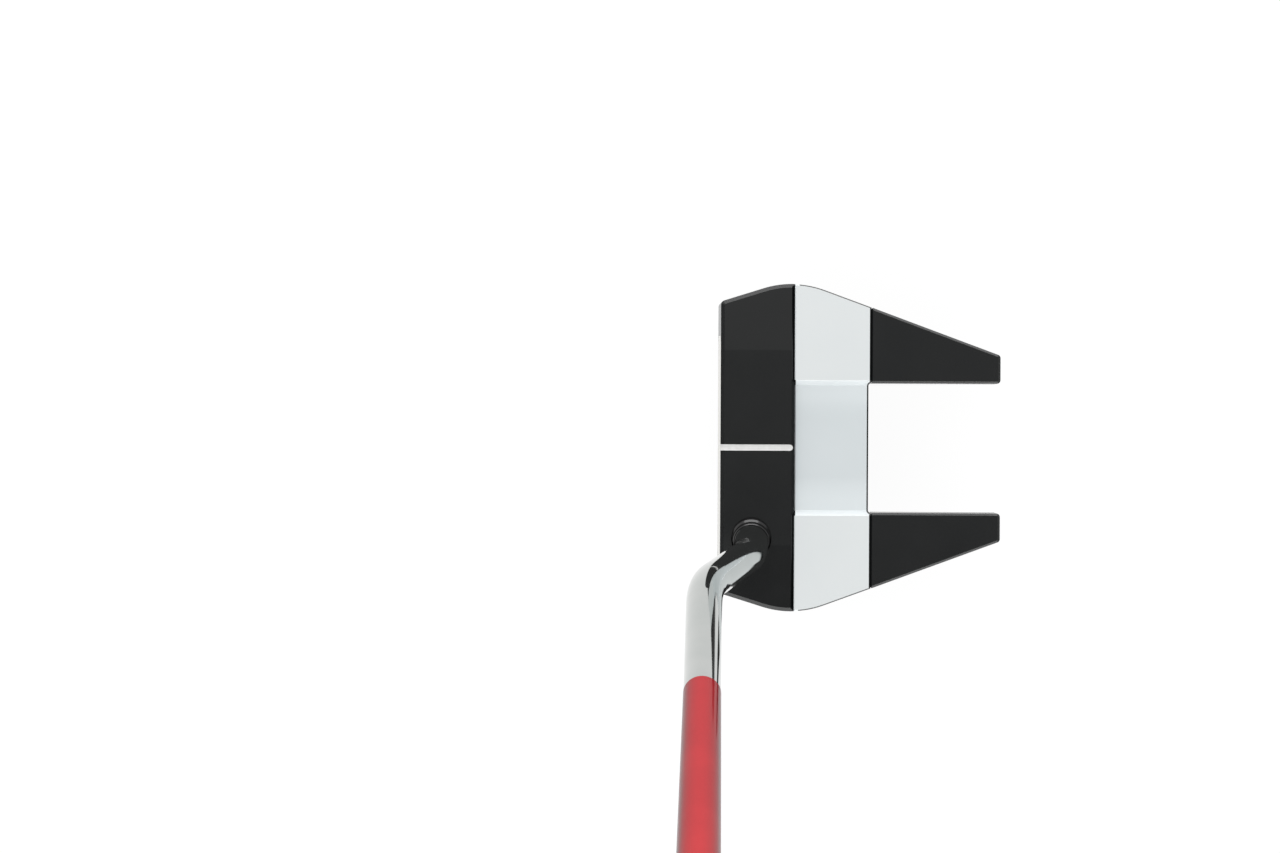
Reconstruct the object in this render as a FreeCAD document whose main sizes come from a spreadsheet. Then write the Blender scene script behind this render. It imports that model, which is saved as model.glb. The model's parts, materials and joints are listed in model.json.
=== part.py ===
import FreeCAD, Part
import math
import os

import Sketcher
from FreeCAD import Placement, Rotation, Vector

# A fang-style mallet putter at address. +X points from the strike face to the back of the head,
# +Y to the toe, +Z up. The origin is on the sole plane, under the sight line, at mid-depth of the
# front bar. The shaft leans towards the heel (-Y). Lengths are in millimetres, angles in degrees.

DIMENSIONS = (
    ("head_height", 24.0, "sole plane to the flat top"),
    ("bar_half_depth", 10.15, "origin to the face's top edge, and to the rear seam"),
    ("loft", 2.2, "lean of the strike face"),
    ("leading_bevel", 2.2, "bevel between face and sole"),
    ("apex_half_width", 45.0, "sight line to the widest point"),
    ("apex_place", 9.3, "widest point behind the origin"),
    ("side_radius", 26.0, "round stretch of the outline at the widest point"),
    ("front_slope", 17.4, "outline ahead of the round stretch"),
    ("rear_slope", 20.3, "outline behind the round stretch"),
    ("corner_round", 1.3, "upright corners beside the face"),
    ("end_flat", 26.8, "sight line to where the bar's top starts to fall"),
    ("end_slope", 2.0, "fall of the bar's top towards toe and heel"),
    ("bar_edge_bevel", 1.0, "top edges of the bar at toe and heel"),
    ("bar_seam_bevel", 0.85, "bar's top edge along its seam"),
    ("wing_seam_bevel", 0.4, "wings' top edges along their seams"),
    ("sole_bevel", 1.6, "bevels around the sole"),
    ("bridge_inset", 0.1, "white bridge stands in from the bar's outline"),
    ("bridge_bevel", 0.3, "top edges of the bridge at its seams and outline"),
    ("bridge_rear", 30.4, "rear wall of the bridge, in the gap"),
    ("wing_seam", 31.15, "seam between bridge and wings"),
    ("channel_half_top", 18.6, "bridge channel, at its rim"),
    ("channel_half_floor", 17.2, "bridge channel, at its floor"),
    ("channel_depth", 1.4, "bridge channel"),
    ("wing_inner", 17.8, "sight line to a wing's inner side"),
    ("wing_tip", 66.6, "origin to the wing tips"),
    ("wing_tip_round", 1.0, "upright corners of a wing tip"),
    ("wing_edge_bevel", 0.6, "top edges of a wing"),
    ("wing_sole_rise", 3.0, "upsweep of a wing's underside"),
    ("ledge_height", 6.0, "tongues under the bridge"),
    ("ledge_rear", 22.0, "rear end of the bar's tongue"),
    ("ledge_half_width", 28.0, "bar's tongue"),
    ("ledge_round", 3.0, "corners of the bar's tongue"),
    ("tongue_front", 24.0, "front end of a wing's tongue"),
    ("tongue_inner", 20.5, "wing's tongue"),
    ("tongue_outer", 34.5, "wing's tongue"),
    ("tongue_round", 1.5, "corners of a wing's tongue"),
    ("fit_gap", 0.05, "assembly clearance beside tongues, plugs and inserts"),
    ("overcut", 1.0, "how far a cut runs past the face it starts or ends at"),
    ("screw_radius", 1.75, "M3.5 assembly screws"),
    ("screw_length", 11.0, "under the head"),
    ("screw_head_radius", 2.9, "assembly screws"),
    ("screw_head_height", 2.4, "assembly screws"),
    ("screw_recess", 2.8, "counterbore for a screw head"),
    ("screw_socket", 2.5, "hexagon socket, across flats"),
    ("screw_clearance", 0.2, "round a screw's shank and head"),
    ("bridge_screw_place", 16.0, "screws through the bar's tongue"),
    ("bridge_screw_inner", 8.0, "inner pair"),
    ("bridge_screw_outer", 22.5, "outer pair"),
    ("wing_screw_place", 27.4, "screws through a wing's tongue"),
    ("wing_screw_inner", 23.9, "inner screw"),
    ("wing_screw_outer", 30.9, "outer screw"),
    ("insert_half_width", 30.9, "face insert"),
    ("insert_low", 3.0, "face insert's lower edge"),
    ("insert_high", 22.4, "face insert's upper edge"),
    ("insert_round", 4.0, "corners of the face insert"),
    ("insert_floor", -7.1, "bottom of the insert's pocket"),
    ("insert_split", -8.6, "pale striking layer ahead, firm core behind"),
    ("sight_width", 1.7, "sight line"),
    ("sight_end", 9.7, "rear end of the sight line"),
    ("sight_depth", 0.6, "groove of the sight line"),
    ("sight_fill", 0.52, "paint in the groove"),
    ("bore_place", -1.6, "shaft bore, behind the origin"),
    ("bore_side", -25.0, "where the bore's axis meets the top, towards the heel"),
    ("bore_depth", 17.0, "shaft bore, along its axis, which leans as the shaft does"),
    ("collar_radius", 5.45, "black ring round the shaft"),
    ("collar_seat", 2.8, "ring's depth in the top, along the bore"),
    ("collar_step", 0.3, "ring's shoulder above the top, along the bore"),
    ("collar_neck", 5.05, "narrower stretch of the ring above its shoulder"),
    ("collar_rise", 2.1, "ring's height above the top, along the bore"),
    ("collar_lip", 0.39, "width of the sloping flank round the shoulder"),
    ("collar_flank", 0.65, "height of that flank, along the bore"),
    ("neck_lip", 0.17, "width of the slope round the ring's top"),
    ("neck_flank", 0.28, "height of that slope, along the bore"),
    ("port_place", 1.6, "weight ports, behind the origin"),
    ("port_side", 35.0, "weight ports, sight line to centre"),
    ("port_radius", 6.8, "weight port"),
    ("port_depth", 6.4, "weight port"),
    ("thread_hole_radius", 4.0, "threaded hole above a weight port"),
    ("thread_hole_depth", 6.6, "threaded hole above a weight port"),
    ("weight_radius", 6.7, "weight's head"),
    ("weight_recess", 0.3, "weight's face above the sole plane"),
    ("weight_head", 4.9, "height of a weight's head"),
    ("stud_radius", 3.93, "weight's threaded stud"),
    ("stud_length", 7.2, "weight's threaded stud, above its head"),
    ("weight_socket", 5.0, "weight's hexagon socket, across flats"),
    ("weight_socket_depth", 2.6, "weight's hexagon socket"),
    ("weight_bevel", 0.5, "rims of a weight"),
    ("seal_inner", 4.3, "sealing washer"),
    ("seal_outer", 6.5, "sealing washer"),
    ("seal_height", 1.05, "sealing washer"),
    ("steel_radius", 4.7, "steel tip of the shaft"),
    ("steel_wall", 0.6, "steel tip of the shaft"),
    ("bore_clearance", 0.05, "glue gap round the steel tip"),
    ("lie", 70.0, "shaft to ground"),
    ("first_bend_height", 35.0, "where the lowest run's axis ends"),
    ("elbow_height", 103.3, "where the main axis begins"),
    ("elbow_place", -13.84, "main axis, ahead of the origin"),
    ("elbow_side", -35.86, "main axis at the elbow, towards the heel"),
    ("lower_bend_radius", 50.0, "bend above the head"),
    ("upper_bend_radius", 86.0, "bend below the main axis"),
    ("steel_run", 73.0, "elbow to the upper tube, along the axis"),
    ("spigot_radius", 3.85, "steel end inside the upper tube"),
    ("spigot_length", 26.0, "steel end inside the upper tube"),
    ("tube_tip_radius", 4.78, "upper tube where it meets the steel"),
    ("tube_butt_radius", 7.6, "parallel upper end of the tube"),
    ("tube_taper_length", 565.0, "tapered stretch of the tube"),
    ("tube_length", 680.6, "upper tube"),
    ("tube_wall", 1.1, "upper tube"),
    ("socket_radius", 3.9, "tube's lower socket"),
    ("socket_depth", 28.0, "tube's lower socket"),
    ("grip_length", 267.0, "grip on the tube"),
    ("tape_gap", 0.05, "tape to tube, and core to tape"),
    ("tape_thickness", 0.2, "grip tape"),
    ("skin_thickness", 1.2, "grip's outer skin"),
    ("cap_height", 3.2, "plate of the butt cap"),
    ("cap_round", 1.2, "rim of the butt cap"),
    ("cap_plug", 9.0, "cap's plug in the tube"),
    ("vent_radius", 1.3, "hole through the cap"),
    ("butt_weight_length", 42.0, "weight inside the tube"),
    ("butt_weight_radius", 6.4, "weight inside the tube"),
    ("butt_weight_gap", 14.0, "weight below the tube's end"),
    ("butt_weight_bevel", 0.8, "rims of that weight"),
    ("plug_length", 5.0, "plug in the steel tip's lower end"),
    ("tip_gap", 0.2, "steel tip above the bottom of its bore, and plug above the tip's end"),
    ("tip_end_wall", 1.5, "steel between the tip's wide hollow and the spigot"),
)

# Grip sections from its mouth upwards: distance, half width, depth to the flat front, depth to the
# rounded back, and the radius between flat and sides.
GRIP_SECTIONS = (
    (0.0, 8.9, 8.8, 8.9, 8.4),
    (12.0, 9.7, 9.2, 9.8, 7.2),
    (70.0, 11.3, 9.7, 11.8, 5.6),
    (150.0, 12.6, 10.1, 13.4, 5.0),
    (215.0, 13.5, 10.4, 15.8, 5.0),
    (250.0, 14.0, 10.7, 18.2, 5.2),
    (267.0, 14.0, 10.8, 18.6, 5.4),
)

doc = FreeCAD.newDocument("MalletPutter")
sheet = doc.addObject("Spreadsheet::Sheet", "Dims")
for line, (alias, number, meaning) in enumerate(DIMENSIONS, start=1):
    sheet.set(f"A{line}", alias)
    sheet.set(f"B{line}", str(number))
    sheet.setAlias(f"B{line}", alias)
    sheet.set(f"C{line}", meaning)
doc.recompute()

subparts = []


def size(expression):
    """The value of an expression in the sheet's names, written Dims.name."""
    return float(sheet.evalExpression(expression))


def as_text(value):
    """Expressions stay as they are, and numbers become one."""
    return value if isinstance(value, str) else repr(float(value))


def new_body(label):
    body = doc.addObject("PartDesign::Body", label)
    body.Label = label
    subparts.append(body)
    return body


def new_sketch(body, name, role, lift=0.0):
    """A sketch on one of the body's own origin planes, lifted along the plane's normal."""
    plane = next(item for item in body.Origin.OriginFeatures if item.Role == role)
    sketch = body.newObject("Sketcher::SketchObject", name)
    sketch.AttachmentSupport = [(plane, "")]
    sketch.MapMode = "FlatFace"
    if lift != 0.0:
        sketch.setExpression("AttachmentOffset.Base.z", as_text(lift))
    doc.recompute()
    return sketch


def bore_sketch(body, name, lift):
    """A sketch square to the leaning shaft bore, lifted along the bore from the head's top."""
    sketch = new_sketch(body, name, "XY_Plane")
    sketch.AttachmentOffset = Placement(Vector(), Rotation(Vector(1, 0, 0), 90 - size("Dims.lie")))
    sketch.setExpression("AttachmentOffset.Rotation.Angle", "90 - Dims.lie")
    sketch.setExpression("AttachmentOffset.Base.x", "Dims.bore_place")
    sketch.setExpression("AttachmentOffset.Base.y", f"Dims.bore_side - {lift} * cos(Dims.lie)")
    sketch.setExpression("AttachmentOffset.Base.z", f"Dims.head_height + {lift} * sin(Dims.lie)")
    doc.recompute()
    return sketch


def pin(sketch, geometry, vertex, axis, value):
    """Fix one coordinate of a sketch vertex to an expression."""
    place = sketch.addConstraint(Sketcher.Constraint(axis, -1, 1, geometry, vertex, size(as_text(value))))
    sketch.setExpression(f"Constraints[{place}]", as_text(value))


def draw_outline(sketch, corners, arcs=None):
    """A closed outline, anticlockwise. arcs gives an edge's centre, and whether it is hollow."""
    arcs = arcs or {}
    count = len(corners)
    spots = [Vector(size(as_text(a)), size(as_text(b)), 0) for a, b in corners]
    ends = []
    first = sketch.GeometryCount
    for edge in range(count):
        begin, finish = spots[edge], spots[(edge + 1) % count]
        if edge in arcs:
            centre_x, centre_y, hollow = arcs[edge]
            centre = Vector(size(as_text(centre_x)), size(as_text(centre_y)), 0)
            low, high = (finish, begin) if hollow else (begin, finish)
            start_angle = math.atan2(low.y - centre.y, low.x - centre.x)
            end_angle = math.atan2(high.y - centre.y, high.x - centre.x)
            circle = Part.Circle(centre, Vector(0, 0, 1), begin.distanceToPoint(centre))
            sketch.addGeometry(Part.ArcOfCircle(circle, start_angle, end_angle), False)
            ends.append((2, 1) if hollow else (1, 2))
        else:
            sketch.addGeometry(Part.LineSegment(begin, finish), False)
            ends.append((1, 2))
    for edge in range(count):
        following = (edge + 1) % count
        joined = (first + edge, ends[edge][1], first + following, ends[following][0])
        sketch.addConstraint(Sketcher.Constraint("Coincident", *joined))
    for edge, (x, y) in enumerate(corners):
        pin(sketch, first + edge, ends[edge][0], "DistanceX", x)
        pin(sketch, first + edge, ends[edge][0], "DistanceY", y)
    for edge, (centre_x, centre_y, _) in arcs.items():
        chord = spots[(edge + 1) % count] - spots[edge]
        if abs(chord.x) > abs(chord.y):
            pin(sketch, first + edge, 3, "DistanceY", centre_y)
        else:
            pin(sketch, first + edge, 3, "DistanceX", centre_x)


def draw_circle(sketch, x, y, radius):
    centre = Vector(size(as_text(x)), size(as_text(y)), 0)
    number = sketch.addGeometry(Part.Circle(centre, Vector(0, 0, 1), size(as_text(radius))), False)
    pin(sketch, number, 3, "DistanceX", x)
    pin(sketch, number, 3, "DistanceY", y)
    place = sketch.addConstraint(Sketcher.Constraint("Radius", number, size(as_text(radius))))
    sketch.setExpression(f"Constraints[{place}]", as_text(radius))


def draw_hexagon(sketch, flats):
    """A hexagon about the sketch's origin, across its flats."""
    corners = []
    for turn in range(6):
        corners.append((f"{flats} / sqrt(3) * cos({60 * turn})", f"{flats} / sqrt(3) * sin({60 * turn})"))
    draw_outline(sketch, corners)


def rounded_rectangle(sketch, low_x, low_y, high_x, high_y, radius):
    """A rectangle whose corners are quarter circles."""
    corners = (
        (f"{low_x} + {radius}", low_y),
        (f"{high_x} - {radius}", low_y),
        (high_x, f"{low_y} + {radius}"),
        (high_x, f"{high_y} - {radius}"),
        (f"{high_x} - {radius}", high_y),
        (f"{low_x} + {radius}", high_y),
        (low_x, f"{high_y} - {radius}"),
        (low_x, f"{low_y} + {radius}"),
    )
    centres = (
        (f"{high_x} - {radius}", f"{low_y} + {radius}"),
        (f"{high_x} - {radius}", f"{high_y} - {radius}"),
        (f"{low_x} + {radius}", f"{high_y} - {radius}"),
        (f"{low_x} + {radius}", f"{low_y} + {radius}"),
    )
    arcs = {2 * turn + 1: (*centres[turn], False) for turn in range(4)}
    draw_outline(sketch, corners, arcs)


def pad(body, sketch, length, reverse=False):
    feature = body.newObject("PartDesign::Pad", sketch.Name + "_pad")
    feature.Profile = sketch
    feature.setExpression("Length", as_text(length))
    feature.Reversed = reverse
    sketch.Visibility = False
    doc.recompute()
    return feature


def cut(body, sketch, length, reverse=False, both_ways=False):
    """Cut a sketch out of the body; a cut that removes nothing is an error."""
    before = body.Shape.Volume
    feature = body.newObject("PartDesign::Pocket", sketch.Name + "_cut")
    feature.Profile = sketch
    feature.setExpression("Length", as_text(length))
    feature.Reversed = reverse
    if both_ways:
        feature.SideType = "Symmetric"
    doc.recompute()
    if body.Shape.Volume >= before:
        raise RuntimeError(f"{feature.Name} cuts nothing")
    return feature


def edge_names(shape, wanted):
    names = []
    for number, edge in enumerate(shape.Edges, start=1):
        if wanted(edge):
            names.append(f"Edge{number}")
    return names


def dress(body, kind, amount, wanted, name):
    """Round (Fillet) or bevel (Chamfer) the body's edges that pass a test."""
    tip = body.Tip
    names = edge_names(tip.Shape, wanted)
    if not names:
        raise RuntimeError(f"{name} finds no edge")
    feature = body.newObject(f"PartDesign::{kind}", name)
    feature.Base = (tip, names)
    feature.setExpression("Radius" if kind == "Fillet" else "Size", as_text(amount))
    doc.recompute()
    if "Invalid" in feature.State or not feature.Shape.isValid():
        raise RuntimeError(f"{name} fails on {names}")
    return feature


SLACK = 0.02


def lies_at(edge, axis, value):
    """Whether the whole edge lies at one coordinate."""
    low = getattr(edge.BoundBox, axis + "Min")
    high = getattr(edge.BoundBox, axis + "Max")
    return abs(low - value) < SLACK and abs(high - value) < SLACK


# ---- Outline of the head -------------------------------------------------------------------------
FRONT_TANGENT_X = "(Dims.apex_place - Dims.side_radius * sin(Dims.front_slope))"
FRONT_TANGENT_Y = "(Dims.apex_half_width - Dims.side_radius * (1 - cos(Dims.front_slope)))"
REAR_TANGENT_X = "(Dims.apex_place + Dims.side_radius * sin(Dims.rear_slope))"
REAR_TANGENT_Y = "(Dims.apex_half_width - Dims.side_radius * (1 - cos(Dims.rear_slope)))"
ARC_CENTRE_Y = "(Dims.apex_half_width - Dims.side_radius)"
LEADING_X = "(-Dims.bar_half_depth - Dims.head_height * tan(Dims.loft))"
LEADING_Y = f"({FRONT_TANGENT_Y} - ({FRONT_TANGENT_X} - {LEADING_X}) * tan(Dims.front_slope))"
SEAM_Y = (
    f"({ARC_CENTRE_Y} + sqrt(Dims.side_radius * Dims.side_radius"
    " - (Dims.bar_half_depth - Dims.apex_place) * (Dims.bar_half_depth - Dims.apex_place)))"
)


def rear_outline(place):
    """Half width of the head behind the round stretch, at a place along X."""
    return f"({REAR_TANGENT_Y} - ({place} - {REAR_TANGENT_X}) * tan(Dims.rear_slope))"


def minus(expression):
    return f"-({expression})"


# A cut this long, half of it each way, passes through the whole head.
ACROSS_HEAD = "(4 * Dims.apex_half_width)"

# A plane square to the leaning bore clears the flat top from here upwards.
BORE_MOUTH = "(Dims.collar_radius / tan(Dims.lie) + Dims.overcut)"


# ---- Head ----------------------------------------------------------------------------------------
def cut_face_loft(body):
    """Lean the strike face back and bevel its lower edge."""
    sketch = new_sketch(body, body.Name + "_loft", "XZ_Plane")
    clear = f"({LEADING_X} - 3 * Dims.overcut)"
    slant = "Dims.leading_bevel * tan(Dims.loft)"
    above = "(Dims.head_height + Dims.overcut)"
    corners = (
        (clear, "-Dims.overcut"),
        (f"{LEADING_X} + Dims.leading_bevel + Dims.overcut", "-Dims.overcut"),
        (f"{LEADING_X} + {slant}", "Dims.leading_bevel"),
        ("-Dims.bar_half_depth + Dims.overcut * tan(Dims.loft)", above),
        (clear, above),
    )
    draw_outline(sketch, corners)
    return cut(body, sketch, ACROSS_HEAD, both_ways=True)


def cut_end_slopes(body):
    """Let the bar's top fall slightly towards the toe and the heel."""
    for side, name in ((1, "toe"), (-1, "heel")):
        sketch = new_sketch(body, f"{body.Name}_{name}_slope", "YZ_Plane")
        far = "(Dims.apex_half_width + Dims.overcut)"
        fall = f"({far} - Dims.end_flat) * tan(Dims.end_slope)"
        corners = [
            ("Dims.end_flat", "Dims.head_height"),
            (far, f"Dims.head_height - {fall}"),
            (far, "Dims.head_height + Dims.overcut"),
            ("Dims.end_flat", "Dims.head_height + Dims.overcut"),
        ]
        if side < 0:
            corners = [(minus(y), z) for y, z in reversed(corners)]
        draw_outline(sketch, corners)
        cut(body, sketch, ACROSS_HEAD, both_ways=True)


def make_front_body():
    """The black bar: shaft bore, insert pocket, sight groove, weight ports and rear tongue."""
    body = new_body("front_body")
    outline = new_sketch(body, "bar_outline", "XY_Plane")
    corners = (
        (LEADING_X, minus(LEADING_Y)),
        (FRONT_TANGENT_X, minus(FRONT_TANGENT_Y)),
        ("Dims.bar_half_depth", minus(SEAM_Y)),
        ("Dims.bar_half_depth", SEAM_Y),
        (FRONT_TANGENT_X, FRONT_TANGENT_Y),
        (LEADING_X, LEADING_Y),
    )
    arcs = {
        1: ("Dims.apex_place", minus(ARC_CENTRE_Y), False),
        3: ("Dims.apex_place", ARC_CENTRE_Y, False),
    }
    draw_outline(outline, corners, arcs)
    pad(body, outline, "Dims.head_height")
    cut_face_loft(body)
    cut_end_slopes(body)
    top = size("Dims.head_height")
    seam = size("Dims.bar_half_depth")
    face = size("Dims.insert_split")
    lowest_top = size("Dims.head_height - Dims.apex_half_width * tan(Dims.end_slope)")

    dress(
        body,
        "Fillet",
        "Dims.corner_round",
        lambda edge: edge.BoundBox.ZLength > top / 2 and edge.BoundBox.XMax < face,
        "bar_corners",
    )

    def top_end(edge):
        box = edge.BoundBox
        outer = min(abs(box.YMin), abs(box.YMax)) > size("Dims.insert_half_width")
        return outer and box.ZMin > lowest_top

    dress(body, "Chamfer", "Dims.bar_edge_bevel", top_end, "bar_top_bevel")
    lowest_bevel = lowest_top - size("Dims.bar_edge_bevel")
    dress(
        body,
        "Chamfer",
        "Dims.bar_seam_bevel",
        lambda edge: lies_at(edge, "X", seam) and edge.BoundBox.ZMin > lowest_bevel,
        "bar_seam_bevel",
    )
    dress(
        body,
        "Chamfer",
        "Dims.sole_bevel",
        lambda edge: lies_at(edge, "Z", 0) and edge.BoundBox.XMax > face and not lies_at(edge, "X", seam),
        "bar_sole_bevel",
    )

    tongue = new_sketch(body, "bar_tongue", "XY_Plane")
    wide = "Dims.ledge_half_width"
    rounded_rectangle(tongue, "0", f"(-{wide})", "Dims.ledge_rear", wide, "Dims.ledge_round")
    pad(body, tongue, "Dims.ledge_height")

    insert = new_sketch(body, "insert_pocket", "YZ_Plane", "Dims.insert_floor")
    draw_insert(insert)
    cut(body, insert, f"Dims.insert_floor - {LEADING_X} + Dims.overcut")

    groove = new_sketch(body, "sight_groove", "XY_Plane", "Dims.head_height")
    draw_sight(groove)
    cut(body, groove, "Dims.sight_depth")

    bore = bore_sketch(body, "shaft_bore", BORE_MOUTH)
    draw_circle(bore, "0", "0", "Dims.steel_radius + Dims.bore_clearance")
    cut(body, bore, f"Dims.bore_depth + {BORE_MOUTH}")
    seat = bore_sketch(body, "collar_seat", BORE_MOUTH)
    draw_circle(seat, "0", "0", "Dims.collar_radius + Dims.fit_gap")
    cut(body, seat, f"Dims.collar_seat + {BORE_MOUTH}")

    for side, name in ((1, "toe"), (-1, "heel")):
        port = new_sketch(body, f"{name}_port", "XY_Plane")
        draw_circle(port, "Dims.port_place", f"{side} * Dims.port_side", "Dims.port_radius")
        cut(body, port, "Dims.port_depth", reverse=True)
        thread = new_sketch(body, f"{name}_thread", "XY_Plane")
        draw_circle(thread, "Dims.port_place", f"{side} * Dims.port_side", "Dims.thread_hole_radius")
        cut(body, thread, "Dims.port_depth + Dims.thread_hole_depth", reverse=True)

    for number, place in enumerate(BRIDGE_SCREWS):
        screw_passage(body, f"bar_screw_{number}", place)
    return body


def draw_insert(sketch, gap="0"):
    """Outline of the face insert, seen along X."""
    rounded_rectangle(
        sketch,
        f"(-Dims.insert_half_width + {gap})",
        f"(Dims.insert_low + {gap})",
        f"(Dims.insert_half_width - {gap})",
        f"(Dims.insert_high - {gap})",
        f"(Dims.insert_round - {gap})",
    )


def draw_sight(sketch):
    """The sight line: square at the face, round at its rear end."""
    half = "(Dims.sight_width / 2)"
    straight_end = f"Dims.sight_end - {half}"
    corners = (
        (LEADING_X, minus(half)),
        (straight_end, minus(half)),
        ("Dims.sight_end", "0"),
        (straight_end, half),
        (LEADING_X, half),
    )
    arcs = {1: (straight_end, "0", False), 2: (straight_end, "0", False)}
    draw_outline(sketch, corners, arcs)


BRIDGE_SCREWS = tuple(
    ("Dims.bridge_screw_place", f"{side} * Dims.bridge_screw_{row}")
    for side in (1, -1)
    for row in ("inner", "outer")
)


def wing_screws(side):
    return tuple(("Dims.wing_screw_place", f"{side} * Dims.wing_screw_{row}") for row in ("inner", "outer"))


def screw_passage(body, name, place):
    """A clearance hole and a counterbore, cut upwards from the sole."""
    hole = new_sketch(body, name + "_hole", "XY_Plane")
    draw_circle(hole, *place, "Dims.screw_radius + Dims.screw_clearance")
    cut(body, hole, "Dims.ledge_height + Dims.overcut", reverse=True)
    recess = new_sketch(body, name + "_recess", "XY_Plane")
    draw_circle(recess, *place, "Dims.screw_head_radius + Dims.screw_clearance")
    cut(body, recess, "Dims.screw_recess", reverse=True)


def make_insert_layer(label, front, back, lofted):
    """One layer of the face insert, from its front to its back along X."""
    body = new_body(label)
    sketch = new_sketch(body, label + "_outline", "YZ_Plane", front)
    draw_insert(sketch, "Dims.fit_gap")
    pad(body, sketch, f"{back} - {front}")
    if lofted:
        cut_face_loft(body)
    return body


def make_sight_line():
    body = new_body("sight_line")
    sketch = new_sketch(body, "sight_outline", "XY_Plane", "Dims.head_height - Dims.sight_depth")
    draw_sight(sketch)
    pad(body, sketch, "Dims.sight_fill")
    cut_face_loft(body)
    return body


def slope_rim(body, radius, width, height, name):
    """A steep slope round the highest of the body's rims of one radius."""
    outer = size(radius)
    rims = [edge.BoundBox for edge in body.Tip.Shape.Edges if abs(edge.BoundBox.XLength - 2 * outer) < SLACK]
    crown = max(rim.ZMax for rim in rims)

    def upper_rim(edge):
        box = edge.BoundBox
        return abs(box.ZMax - crown) < SLACK and abs(box.XLength - 2 * outer) < SLACK and box.YLength > outer

    slope = dress(body, "Chamfer", width, upper_rim, name)
    slope.ChamferType = "Two distances"
    slope.FlipDirection = True
    slope.setExpression("Size2", height)
    doc.recompute()


def make_shaft_collar():
    """The black ring round the shaft where it enters the bar: a shoulder with a narrower neck on it."""
    body = new_body("shaft_collar")
    hole = "Dims.steel_radius + Dims.bore_clearance"
    shoulder = bore_sketch(body, "collar_ring", "(-Dims.collar_seat)")
    draw_circle(shoulder, "0", "0", "Dims.collar_radius")
    draw_circle(shoulder, "0", "0", hole)
    pad(body, shoulder, "Dims.collar_seat + Dims.collar_step")
    slope_rim(body, "Dims.collar_radius", "Dims.collar_lip", "Dims.collar_flank", "collar_shoulder")
    neck = bore_sketch(body, "collar_neck", "(-Dims.collar_seat)")
    draw_circle(neck, "0", "0", "Dims.collar_neck")
    draw_circle(neck, "0", "0", hole)
    pad(body, neck, "Dims.collar_seat + Dims.collar_rise")
    slope_rim(body, "Dims.collar_neck", "Dims.neck_lip", "Dims.neck_flank", "collar_crown")
    return body


def make_centre_bridge():
    """The white band between bar and wings, with a shallow channel along its middle."""
    body = new_body("centre_bridge")
    outline = new_sketch(body, "bridge_outline", "XY_Plane")
    inset = "Dims.bridge_inset"
    corner = "(Dims.wing_seam - Dims.bridge_rear)"
    rear_y = f"({rear_outline('Dims.wing_seam')} - {inset} / 2)"
    half = (
        ("Dims.bar_half_depth", f"({SEAM_Y} - {inset})"),
        (REAR_TANGENT_X, f"({REAR_TANGENT_Y} - {inset})"),
        ("Dims.wing_seam", rear_y),
        ("Dims.wing_seam", "Dims.wing_inner"),
        ("Dims.bridge_rear", f"(Dims.wing_inner - {corner})"),
    )
    corners = [(x, minus(y)) for x, y in half] + list(reversed(half))
    arcs = {
        0: ("Dims.apex_place", minus(f"{ARC_CENTRE_Y} - {inset}"), False),
        3: ("Dims.wing_seam", minus(f"Dims.wing_inner - {corner}"), True),
        5: ("Dims.wing_seam", f"(Dims.wing_inner - {corner})", True),
        8: ("Dims.apex_place", f"({ARC_CENTRE_Y} - {inset})", False),
    }
    draw_outline(outline, corners, arcs)
    pad(body, outline, "Dims.head_height")

    channel = new_sketch(body, "bridge_channel", "YZ_Plane")
    floor = "(Dims.head_height - Dims.channel_depth)"
    steep = "(Dims.channel_half_top - Dims.channel_half_floor) / Dims.channel_depth"
    rim = f"(Dims.channel_half_top + {steep} * Dims.overcut)"
    channel_half = (("Dims.channel_half_floor", floor), (rim, "(Dims.head_height + Dims.overcut)"))
    corners = [(minus(channel_half[0][0]), floor), *channel_half, (minus(rim), channel_half[1][1])]
    draw_outline(channel, corners)
    cut(body, channel, ACROSS_HEAD, both_ways=True)

    top = size("Dims.head_height")
    channel_floor = size(floor)
    seams = (size("Dims.bar_half_depth"), size("Dims.wing_seam"))

    def rim_edge(edge):
        box = edge.BoundBox
        across = any(lies_at(edge, "X", seam) for seam in seams) and box.ZMin > channel_floor - SLACK
        outer = min(abs(box.YMin), abs(box.YMax)) > size("Dims.apex_half_width / 2")
        return across or (outer and lies_at(edge, "Z", top))

    dress(body, "Chamfer", "Dims.bridge_bevel", rim_edge, "bridge_rim_bevel")

    tongue = new_sketch(body, "bridge_underside", "XY_Plane")
    gap = "Dims.fit_gap"
    rounded_rectangle(
        tongue,
        "0",
        f"(-Dims.ledge_half_width - {gap})",
        f"(Dims.ledge_rear + {gap})",
        f"(Dims.ledge_half_width + {gap})",
        f"(Dims.ledge_round + {gap})",
    )
    cut(body, tongue, "Dims.ledge_height", reverse=True)
    for side, name in ((1, "toe"), (-1, "heel")):
        slot = new_sketch(body, f"bridge_{name}_slot", "XY_Plane")
        draw_tongue(slot, side, gap)
        cut(body, slot, "Dims.ledge_height", reverse=True)
    for number, place in enumerate((*BRIDGE_SCREWS, *wing_screws(1), *wing_screws(-1))):
        hole = new_sketch(body, f"bridge_screw_hole_{number}", "XY_Plane")
        draw_circle(hole, *place, "Dims.screw_radius + Dims.fit_gap")
        cut(body, hole, "Dims.screw_recess + Dims.screw_length + Dims.overcut", reverse=True)
    return body


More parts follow.
